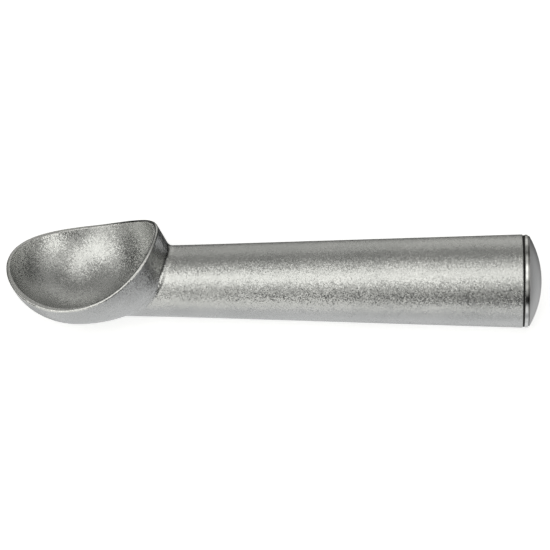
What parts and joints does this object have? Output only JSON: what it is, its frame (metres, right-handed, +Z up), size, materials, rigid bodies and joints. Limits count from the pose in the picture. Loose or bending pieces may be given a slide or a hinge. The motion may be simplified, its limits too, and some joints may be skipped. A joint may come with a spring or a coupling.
{
  "type": "ice cream dipper",
  "caption": "Cast aluminium ice-cream dipper: oval bowl with a swept rim and back crest on a tapered, liquid-filled handle closed by a domed plug.",
  "frame": {"origin": "centre of the object's box in plan, on the table surface: the dipper rests on the bottom of its bowl and the edge of its butt", "axes": "+Z up, away from the table and out of the bowl; +X along the dipper from the lip to the butt; the handle's own axis rises 1.25 degrees towards +X as it rests; the object is symmetric about the plane Y = 0"},
  "size_m": [0.1783, 0.0424, 0.0333],
  "materials": {
    "cast_aluminium": "bead-blasted casting, fine sparkling grain, satin",
    "turned_aluminium": "turned, polished band and satin domed face",
    "black_rubber": "matt black",
    "fluid": "clear food-safe liquid, out of sight"
  },
  "bodies": {
    "root": {"scoop_body": "cast_aluminium", "end_cap": "turned_aluminium", "cap_gasket": "black_rubber", "inner_o_ring": "black_rubber", "outer_o_ring": "black_rubber", "heat_transfer_fluid": "fluid"}
  },
  "joints": []
}
